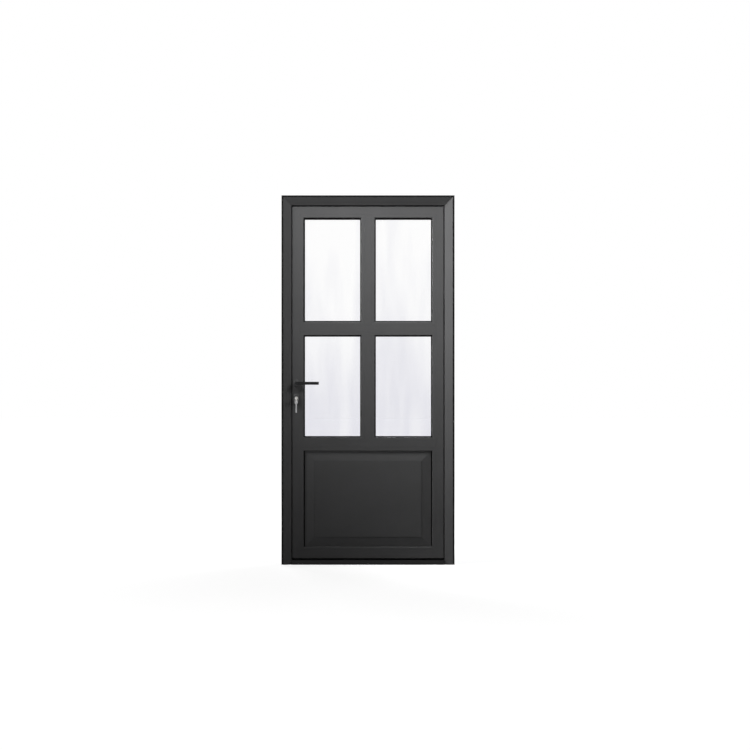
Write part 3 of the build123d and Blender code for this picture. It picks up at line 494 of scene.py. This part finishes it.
# %% [markdown]
# Aluminium carries heat, so a real profile has an outer and an inner half with black plastic between them.
# The plastic is seen in the rebates when the leaf is open. Strips as thin as paper, laid on the solids,
# show it without cutting the profiles.

# %% Strips in the frame's rebates
STRIP, END_GAP, STRIP_FOOT = 0.0003, 0.001, 0.03
FRAME_STRIP_NEAR, FRAME_STRIP_FAR = 0.001, 0.011


def add_bar(shape, low, high):
    """Adds a straight bar between two corners to a mesh."""
    size = Vector(high) - Vector(low)
    centre = (Vector(high) + Vector(low)) / 2
    bmesh.ops.create_cube(shape, size=1, matrix=Matrix.Translation(centre) @ Matrix.Diagonal((*size, 1)))


stop_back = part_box("frame_seal")[0].y
strip_near, strip_far = stop_back + FRAME_STRIP_NEAR, stop_back + FRAME_STRIP_FAR
head_rebate = top_z - (edge_x + rebate)
shape = bmesh.new()
for side in (-1, 1):
    xs = sorted((-side * rebate, -side * rebate - side * STRIP))
    add_bar(shape, (xs[0], strip_near, STRIP_FOOT), (xs[1], strip_far, head_rebate - END_GAP))
head_start = (rebate + END_GAP, strip_near, head_rebate - STRIP)
head_end = (-rebate - END_GAP, strip_far, head_rebate)
add_bar(shape, head_start, head_end)
add_piece("frame_break_strips", shape, "frame", "black_rubber")

# %% Strips round the leaf
FLANGE, STOP_GAP = 0.019, 0.008
LEAF_STRIP_NEAR, LEAF_STRIP_FAR = 0.009, 0.001
flange_low, flange_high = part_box("lock_stile")
leaf_bottom, leaf_top = flange_low.z + FLANGE, flange_high.z - FLANGE
leaf_x = -flange_low.x - FLANGE
flange_front = stop_back + STOP_GAP
strip_near, strip_far = flange_front - LEAF_STRIP_NEAR, flange_front - LEAF_STRIP_FAR
shape = bmesh.new()
for side in (-1, 1):
    xs = sorted((side * leaf_x, side * (leaf_x + STRIP)))
    add_bar(shape, (xs[0], strip_near, leaf_bottom), (xs[1], strip_far, leaf_top))
for level, lift in ((leaf_top, STRIP), (leaf_bottom, -STRIP)):
    zs = sorted((level, level + lift))
    add_bar(shape, (-leaf_x, strip_near, zs[0]), (leaf_x, strip_far, zs[1]))
add_piece("leaf_break_strips", shape, "leaf", "black_rubber")

# %% [markdown]
# The panel's upper and lower joints are closed by thin strips in the frame's colour, while the joints at
# the sides stay dark. The upper strip slopes from the bead to the panel, so only a soft shade lies there.


# %% Strips at the panel's ends
def add_strip(shape, section, left, right):
    """Adds a strip along X to a mesh, from the depths and heights of its section."""
    ends = [[shape.verts.new((x, depth, height)) for depth, height in section] for x in (left, right)]
    for step in range(len(section)):
        after = (step + 1) % len(section)
        shape.faces.new((ends[0][step], ends[0][after], ends[1][after], ends[1][step]))
    for end in ends:
        shape.faces.new(end)
    bmesh.ops.recalc_face_normals(shape, faces=shape.faces)


BEAD_WIDTH, SIDE_JOINT, END_JOINT = 0.020, 0.008, 0.002
JOINT_DEPTH, JOINT_FLOOR = 0.006, 0.010
SLOPE_START, SLOPE_END, SLOPE_HEIGHT = 0.0015, 0.0053, 0.0095
bead_low, bead_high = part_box("beads_panel")
bead_front = bead_low.y
left_x, right_x = bead_low.x + BEAD_WIDTH + SIDE_JOINT, bead_high.x - BEAD_WIDTH - SIDE_JOINT
upper_edge, lower_edge = bead_high.z - BEAD_WIDTH, bead_low.z + BEAD_WIDTH
joint_front, joint_back = bead_front + JOINT_DEPTH, bead_front + JOINT_FLOOR
upper_section = [
    (bead_front + SLOPE_START, upper_edge),
    (joint_back, upper_edge),
    (joint_back, upper_edge - END_JOINT),
    (joint_front, upper_edge - END_JOINT),
    (bead_front + SLOPE_END, upper_edge - SLOPE_HEIGHT),
]
lower_section = [
    (joint_front, lower_edge),
    (joint_front, lower_edge + END_JOINT),
    (joint_back, lower_edge + END_JOINT),
    (joint_back, lower_edge),
]
shape = bmesh.new()
add_strip(shape, upper_section, left_x, right_x)
add_strip(shape, lower_section, left_x, right_x)
add_piece("panel_end_strips", shape, "leaf", "grey_paint")

# %% [markdown]
# ## Studio
#
# The photo stands the door straight on against white. A white wall of lamps would wash out the dark paint,
# so the floor and the world only look white: to the camera, and in gloss and through glass. The light that
# they throw on the door is dim. The floor glows a little less near the door, where it keeps a soft shadow.


# %% What the camera sees
def seen_rays(tree):
    """A socket that is 1 where the camera looks, straight on, in gloss or through glass, and 0 elsewhere."""
    path = add_node(tree, "ShaderNodeLightPath")
    seen = path.outputs["Is Camera Ray"]
    for kind in ("Is Glossy Ray", "Is Transmission Ray"):
        either = add_node(tree, "ShaderNodeMath", operation="MAXIMUM")
        tree.links.new(seen, either.inputs[0])
        tree.links.new(path.outputs[kind], either.inputs[1])
        seen = either.outputs[0]
    return seen


# %% Floor paper
PAPER, WHITE = (0.25, 0.25, 0.25, 1), (1, 1, 1, 1)
NEAR, FAR = 0.6, 2.6
NEAR_GLOW, FAR_GLOW = 0.86, 1.0
floor_paper = bpy.data.materials.new("pale_floor")
floor_paper.use_nodes = True
tree = floor_paper.node_tree
paper = tree.nodes["Principled BSDF"]
paper.inputs["Base Color"].default_value = PAPER
paper.inputs["Roughness"].default_value = 0.9
paper.inputs["Specular IOR Level"].default_value = 0.0
paper.inputs["Emission Color"].default_value = WHITE
spot = add_node(tree, "ShaderNodeTexCoord")
distance = add_node(tree, "ShaderNodeVectorMath", operation="LENGTH")
glow_range = {"From_Min": NEAR, "From_Max": FAR, "To_Min": NEAR_GLOW, "To_Max": FAR_GLOW}
brighten = add_node(tree, "ShaderNodeMapRange", **glow_range)
glow = add_node(tree, "ShaderNodeMath", operation="MULTIPLY")
tree.links.new(spot.outputs["Object"], distance.inputs[0])
tree.links.new(distance.outputs["Value"], brighten.inputs["Value"])
tree.links.new(seen_rays(tree), glow.inputs[0])
tree.links.new(brighten.outputs[0], glow.inputs[1])
tree.links.new(glow.outputs[0], paper.inputs["Emission Strength"])
print("floor paper with", len(tree.nodes), "nodes")

# %% Floor
FLOOR_SIZE, FLOOR_DROP = 30, 0.0005
floor_mesh = bpy.data.meshes.new("studio_floor")
floor_shape = bmesh.new()
bmesh.ops.create_grid(floor_shape, x_segments=2, y_segments=2, size=FLOOR_SIZE)
floor_shape.to_mesh(floor_mesh)
floor_shape.free()
floor_mesh.materials.append(floor_paper)
floor = bpy.data.objects.new("studio_floor", floor_mesh)
bpy.context.scene.collection.objects.link(floor)
floor.location.z = cad_low.z - FLOOR_DROP
print("floor at", round(floor.location.z, 4))

# %% World
WORLD_LIGHT = 0.03
world = bpy.data.worlds.new("studio_world")
bpy.context.scene.world = world
world.use_nodes = True
tree = world.node_tree
tree.nodes.clear()
strength = add_node(tree, "ShaderNodeMapRange", To_Min=WORLD_LIGHT, To_Max=1.0)
sky = add_node(tree, "ShaderNodeBackground", Color=WHITE)
out = add_node(tree, "ShaderNodeOutputWorld")
tree.links.new(seen_rays(tree), strength.inputs["Value"])
tree.links.new(strength.outputs[0], sky.inputs["Strength"])
tree.links.new(sky.outputs[0], out.inputs["Surface"])
print("world lights at", WORLD_LIGHT)

# %% [markdown]
# ## Lamps
#
# In the photo the light comes from high on the left: the sloping faces of the head and of the left jamb
# turn away from it and are dark, and the door fades from the top to the foot. Softboxes with a grid give
# that fade, because a grid keeps the light to a narrow beam, which is aimed at the upper half. One large
# weak softbox on the right opens the shadows, and two wide ones light the back.


# %% Lamps
def soft_lamp(name, place, aim, size, watts, spread):
    """A square softbox at a place, turned to a point on the door, with the beam's spread in degrees."""
    light = bpy.data.lights.new(name, "AREA")
    light.shape = "SQUARE"
    light.size = size
    light.energy = watts
    light.spread = math.radians(spread)
    lamp = bpy.data.objects.new(name, light)
    bpy.context.scene.collection.objects.link(lamp)
    lamp.location = place
    lamp.rotation_euler = (Vector(aim) - Vector(place)).to_track_quat("-Z", "Y").to_euler()
    lamp.visible_camera = False
    lamp.visible_glossy = False
    lamp.visible_transmission = False


# Place, aim, size in metres, watts, and spread in degrees
LAMPS = {
    "corner": ((-4.2, -0.95, 5.2), (0.5, 0, 1.8), 0.8, 30, 36),
    "top_left": ((-2.2, -0.9, 5.4), (0.4, 0, 1.85), 0.8, 18, 34),
    "low_left": ((-3.6, -1.35, 3.2), (0.9, 0, 1.6), 0.8, 6, 42),
    "high_right": ((2.8, -2.0, 3.6), (0.3, 0, 2.0), 2.2, 12, 34),
    "back_left": ((-2.0, 3.2, 2.8), (0, 0, 1.1), 1.5, 110, 180),
    "back_right": ((2.4, 2.6, 1.8), (0, 0, 1.1), 1.5, 60, 180),
}
for name, settings in LAMPS.items():
    soft_lamp(name, *settings)
print("lamps", ", ".join(LAMPS))

# %% [markdown]
# ## Camera
#
# The photo is square and straight on. Its scale is 5.777 mm to a pixel on the frame's front, so the
# lens follows from the distance, and a small shift puts the door where it stands in the picture.

# %% Camera
DISTANCE = 8.0
MILLIMETRES_PER_PIXEL = 5.777
PIXELS = 750
PIXELS_LEFT_OF_MIDDLE, PIXELS_BELOW_MIDDLE = 7.0, 5.07
SENSOR = 36.0
camera_data = bpy.data.cameras.new("photo_camera")
camera_data.sensor_width = SENSOR
camera_data.lens = SENSOR * DISTANCE / (PIXELS * MILLIMETRES_PER_PIXEL / 1000)
camera_data.shift_x = PIXELS_LEFT_OF_MIDDLE / PIXELS
camera_data.shift_y = PIXELS_BELOW_MIDDLE / PIXELS
camera = bpy.data.objects.new("photo_camera", camera_data)
bpy.context.scene.collection.objects.link(camera)
camera.location = (0, front - DISTANCE, (cad_low.z + cad_high.z) / 2)
camera.rotation_euler = (math.radians(90), 0, 0)
bpy.context.scene.camera = camera
bpy.context.scene.view_settings.view_transform = "Standard"
print("lens", round(camera_data.lens, 2), "mm at", DISTANCE, "m")
